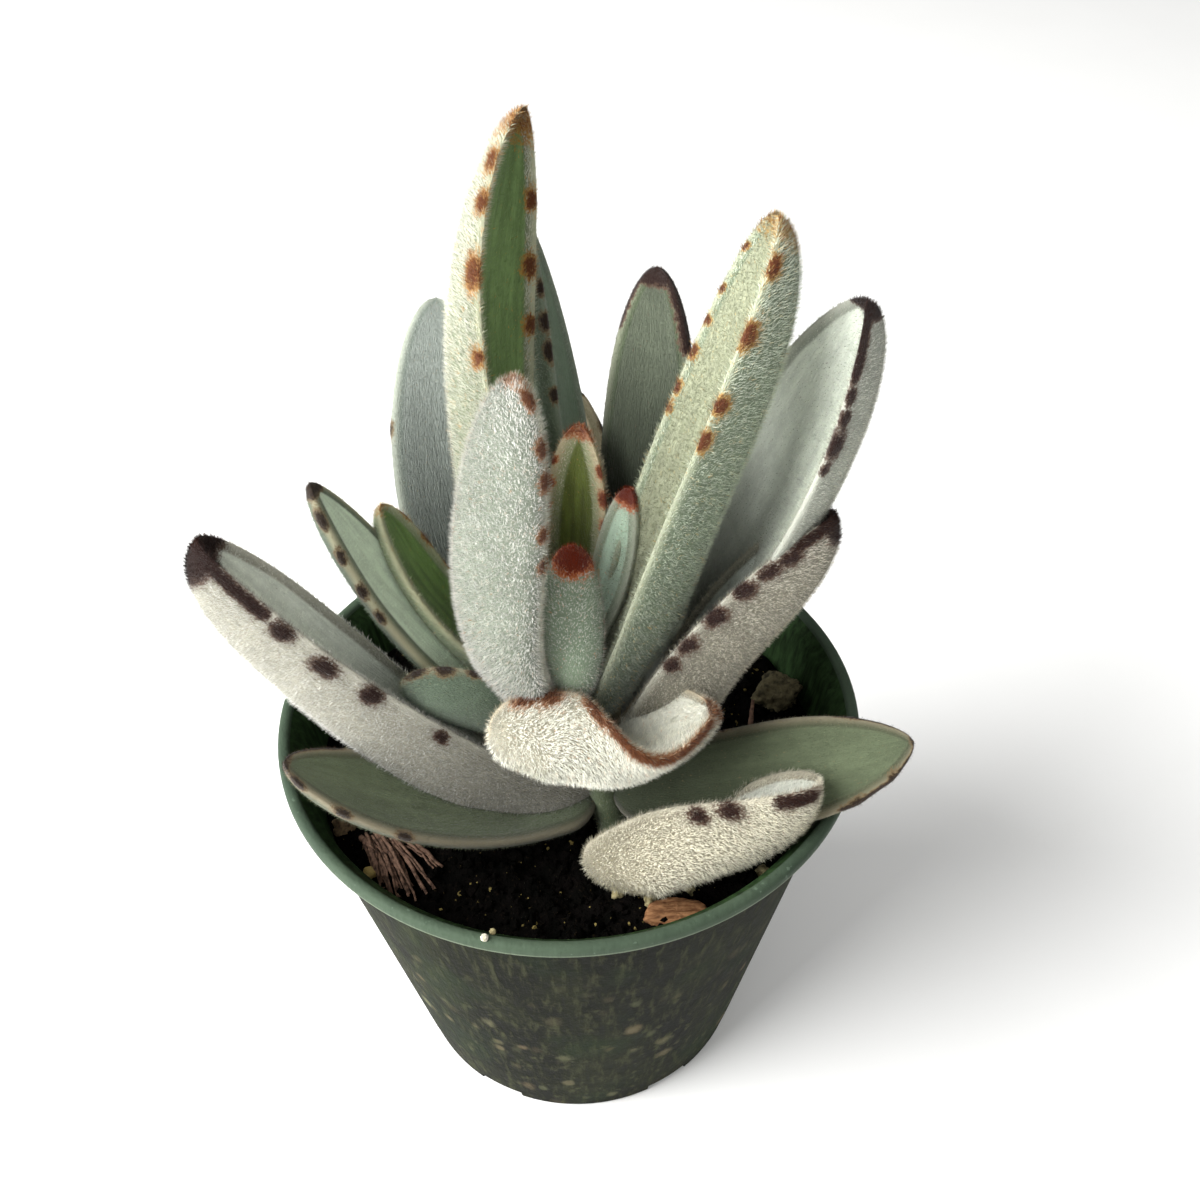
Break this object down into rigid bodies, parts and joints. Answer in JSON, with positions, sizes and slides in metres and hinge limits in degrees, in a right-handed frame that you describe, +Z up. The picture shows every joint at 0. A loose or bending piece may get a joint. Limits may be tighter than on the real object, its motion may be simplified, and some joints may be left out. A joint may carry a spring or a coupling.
{
  "type": "potted succulent plant",
  "caption": "Low rosette of thick felted boat-shaped leaves with dark marks along their margins, rooted in soil in a round tapered plastic nursery pot.",
  "frame": {"origin": "centre of the pot's flat base, on the surface it stands on", "axes": "+Z up along the pot's axis; -Y towards the side where the lowest leaf lies over the soil"},
  "size_m": [0.1103, 0.102, 0.1727],
  "materials": {
    "pot_plastic": "thin moulded plastic, scuffed, with a dusty bloom",
    "peat": "damp crumbly peat mix",
    "felted_leaf": "thick leaf under dense short silver hairs",
    "stem_skin": "soft stem under short hairs",
    "pumice": "rough porous stone",
    "perlite": "rough pale grains",
    "bark": "rough orange-brown bark",
    "dry_straw": "dry dull fibre"
  },
  "bodies": {
    "root": {"bark_chip": "bark", "dry_roots": "dry_straw", "leaf_bud_front": "felted_leaf", "leaf_bud_right": "felted_leaf", "leaf_front_bent": "felted_leaf", "leaf_heart_left": "felted_leaf", "leaf_heart_rear": "felted_leaf", "leaf_hidden_left": "felted_leaf", "leaf_hidden_rear": "felted_leaf", "leaf_hidden_right": "felted_leaf", "leaf_left_long": "felted_leaf", "leaf_left_small": "felted_leaf", "leaf_left_upper": "felted_leaf", "leaf_left_young": "felted_leaf", "leaf_low_front": "felted_leaf", "leaf_low_left": "felted_leaf", "leaf_low_right": "felted_leaf", "leaf_rear": "felted_leaf", "leaf_rear_left": "felted_leaf", "leaf_right_front": "felted_leaf", "leaf_right_rear": "felted_leaf", "leaf_right_tall": "felted_leaf", "leaf_tall": "felted_leaf", "leaf_tall_rear": "felted_leaf", "pebble": "pumice", "pellet": "perlite", "perlite_front": "perlite", "perlite_front_left": "perlite", "perlite_front_right": "perlite", "perlite_right": "perlite", "pot": "pot_plastic", "pumice_lump": "pumice", "soil": "peat", "stem": "stem_skin", "twig": "dry_straw"}
  },
  "joints": []
}
